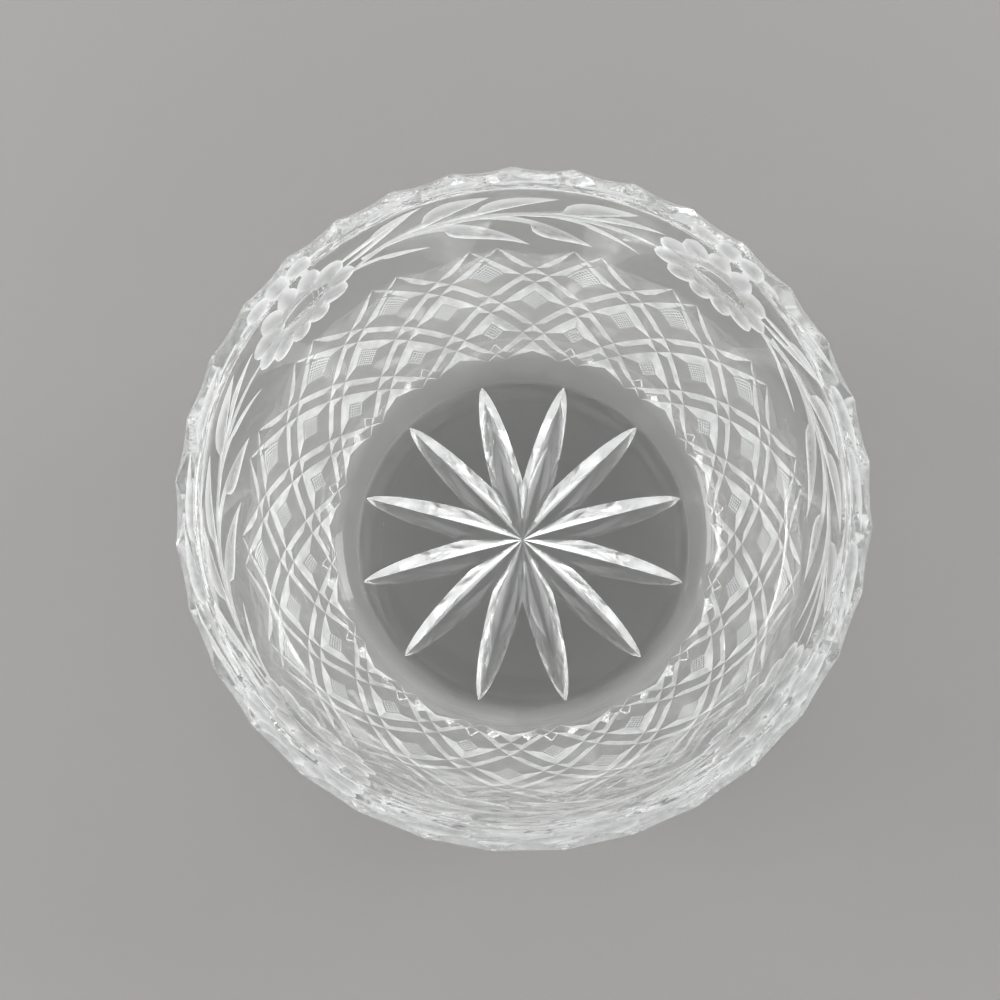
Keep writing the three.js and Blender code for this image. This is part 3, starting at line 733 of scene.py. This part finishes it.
# Each inner petal: where it starts and ends, both across and up from the flower's middle, its bow between
# them and its half width
INNER_PETALS = [((13.9, -3.0), (-13.4, -1.0), -4.2, 3.2), ((11.8, 3.3), (-11.0, 2.0), 3.6, 2.8)]
EYE_SHIFT = 2.6
EYE_WIDE, EYE_TALL, EYE_DEPTH = 11.9, 5.0, 1.3
# The greatest value of (1 + x) times the root of (1 - x)
EYE_PEAK = 1.09
# Each bar's place along the eye's blunt half, how far a bar leans, how much of the eye's height it crosses, its
# half width and its depth, and how much shallower it is at its ends
EYE_BARS = (0.3, 0.5, 0.68)
BAR_LEAN, BAR_REACH = 1.2, 0.8
BAR_HALF_WIDTH, BAR_DEPTH, BAR_RISE = 0.45, 1.6, 1.2

# The outlines below keep a little width at their tips, so that the solids close
x = np.linspace(-1, 1, 17)
round_off = np.sqrt(np.maximum(1 - x ** 2, 0.002))
eye_outline = np.maximum((1 + x) * (1 - x) ** 0.5 / EYE_PEAK, 0.02)
bar_outline = np.maximum(BAR_HALF_WIDTH * (1 - x ** 2), 0.03)
for i in range(SPRAYS):
    centre = FLOWER_PHASE + i * 2 * math.pi / SPRAYS
    for j in range(PETALS):
        turn = PETAL_PHASE + j * 2 * math.pi / PETALS
        reach = PETAL_MIDDLE + PETAL_REACH * x
        across, up = FLOWER_WIDE * math.cos(turn) * reach, FLOWER_TALL * math.sin(turn) * reach
        width, deep = PETAL_HALF_WIDTH * round_off, PETAL_DEPTH * round_off
        wheel_cut(f"petal_{i}_{j}", centre, across, up, width, width, deep, PETAL_KEEL, satin_glass)
    for j, (start, end, bow, half_width) in enumerate(INNER_PETALS):
        way = (x + 1) / 2
        across = start[0] + (end[0] - start[0]) * way
        up = start[1] + (end[1] - start[1]) * way + bow * np.sin(math.pi * way)
        width, deep = half_width * round_off, INNER_PETAL_DEPTH * round_off
        wheel_cut(f"inner_petal_{i}_{j}", centre, across, up, width, width, deep, INNER_PETAL_KEEL, satin_glass)
    width, deep = EYE_TALL * eye_outline, EYE_DEPTH * np.sqrt(eye_outline)
    wheel_cut(f"eye_{i}", centre, EYE_SHIFT + EYE_WIDE * x, 0 * x, width, width, deep, EYE_KEEL, clear_glass)
    for j, along_eye in enumerate(EYE_BARS):
        across, up = EYE_SHIFT + EYE_WIDE * along_eye + BAR_LEAN * x, x * EYE_TALL * BAR_REACH
        deep = BAR_DEPTH - BAR_RISE * x ** 2
        wheel_cut(f"bar_{i}_{j}", centre, across, up, bar_outline, bar_outline, deep, BAR_KEEL, clear_glass)

# Star: twelve long rays cut up into the flat foot. They widen outwards to where neighbours meet, narrow again
# much like a quarter of an ellipse, and end in a short point.

STAR_RAYS = 12
STAR_PHASE = math.radians(15)
STAR_START, STAR_SHOULDER, STAR_RADIUS = 0.4, 22.5, 65.0
STAR_HALF_WIDTH, STAR_DEPTH = 6.0, 4.6
# The share of its full width that a ray has at the middle, and the share that it gains up to its shoulder
RAY_WAIST, RAY_SWELL = 0.42, 0.58
RAY_TAPER, RAY_TIP = 0.65, 0.02
# Across a ray, from one side to the other and clear of the foot at both: shares of its half width and of its
# depth
RAY_ACROSS = np.array([-1.3, -1.0, -0.5, 0.0, 0.5, 1.0, 1.3])
RAY_INTO_GLASS = np.array([-0.3, 0.0, 0.55, 1.0, 0.55, 0.0, -0.3])
RAY_CLEAR = 0.05

along = np.linspace(0, 1, 25)
radius = STAR_START + (STAR_RADIUS - STAR_START) * along
rise = np.clip(radius / STAR_SHOULDER, 0, 1)
beyond = np.clip((radius - STAR_SHOULDER) / (STAR_RADIUS - STAR_SHOULDER), 0, 1)
fullness = (RAY_WAIST + RAY_SWELL * np.sin(rise * math.pi / 2)) * (1 - beyond ** 2) ** RAY_TAPER
fullness = np.maximum(fullness, RAY_TIP)
for i in range(STAR_RAYS):
    angle = STAR_PHASE + i * 2 * math.pi / STAR_RAYS
    offset = STAR_HALF_WIDTH * fullness[:, None] * RAY_ACROSS
    x = radius[:, None] * math.cos(angle) - offset * math.sin(angle)
    y = radius[:, None] * math.sin(angle) + offset * math.cos(angle)
    z = STAR_DEPTH * fullness[:, None] * RAY_INTO_GLASS - RAY_CLEAR * (RAY_INTO_GLASS < 0)
    new_mesh(f"ray_{i}", np.stack([x, y, z], axis=-1), rod_faces(*x.shape), cut_glass, cuts)

# Cutting: all of it is taken off the casting at once, and the bowl keeps each cut's own finish.

SHARP_EDGE = math.radians(12)

work = casting.modifiers.new("cuts", "BOOLEAN")
work.solver = "MANIFOLD"
work.operation = "DIFFERENCE"
work.operand_type = "COLLECTION"
work.collection = cuts
work.material_mode = "TRANSFER"
cut_mesh = bpy.data.meshes.new_from_object(casting.evaluated_get(bpy.context.evaluated_depsgraph_get()))
casting.modifiers.clear()
casting.data = cut_mesh
cut_mesh.name = "rose_bowl"
for cutter in list(cuts.objects):
    bpy.data.objects.remove(cutter)
bpy.data.collections.remove(cuts)
cut_mesh.polygons.foreach_set("use_smooth", np.ones(len(cut_mesh.polygons), bool))
cut_mesh.set_sharp_from_angle(angle=SHARP_EDGE)
# How far each point lies under the uncut wall: short of the belly's arc up to the shoulder, and inside the
# straight upper wall beyond it
places = np.empty(3 * len(cut_mesh.vertices))
cut_mesh.vertices.foreach_get("co", places)
x, y, z = 1000 * places.reshape(-1, 3).T
reach = np.hypot(x, y)
under_arc = belly_radius - np.hypot(reach - belly_centre[0], z - belly_centre[1])
under_line = (SHOULDER_RADIUS - reach) * math.sin(upper_slope) + (z - SHOULDER_HEIGHT) * math.cos(upper_slope)
sunk = np.where(z > SHOULDER_HEIGHT, under_line, under_arc)
cut_mesh.attributes.new("sunk", "FLOAT", "POINT").data.foreach_set("value", sunk)
# How far each face leans up the wall: its normal along the wall's own upward line there
normals, middles = np.empty(3 * len(cut_mesh.polygons)), np.empty(3 * len(cut_mesh.polygons))
cut_mesh.polygons.foreach_get("normal", normals)
cut_mesh.polygons.foreach_get("center", middles)
normals, middles = normals.reshape(-1, 3), 1000 * middles.reshape(-1, 3)
reach = np.maximum(np.hypot(middles[:, 0], middles[:, 1]), 1e-6)
slope = wall(length_at(np.clip(middles[:, 2], HEEL_HEIGHT, BOWL_HEIGHT)))[2]
outward = (normals[:, 0] * middles[:, 0] + normals[:, 1] * middles[:, 1]) / reach
lift = outward * np.cos(slope) + normals[:, 2] * np.sin(slope)
cut_mesh.attributes.new("lift", "FLOAT", "FACE").data.foreach_set("value", lift)
cut_mesh.update()

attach(casting, "root")
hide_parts("bowl")
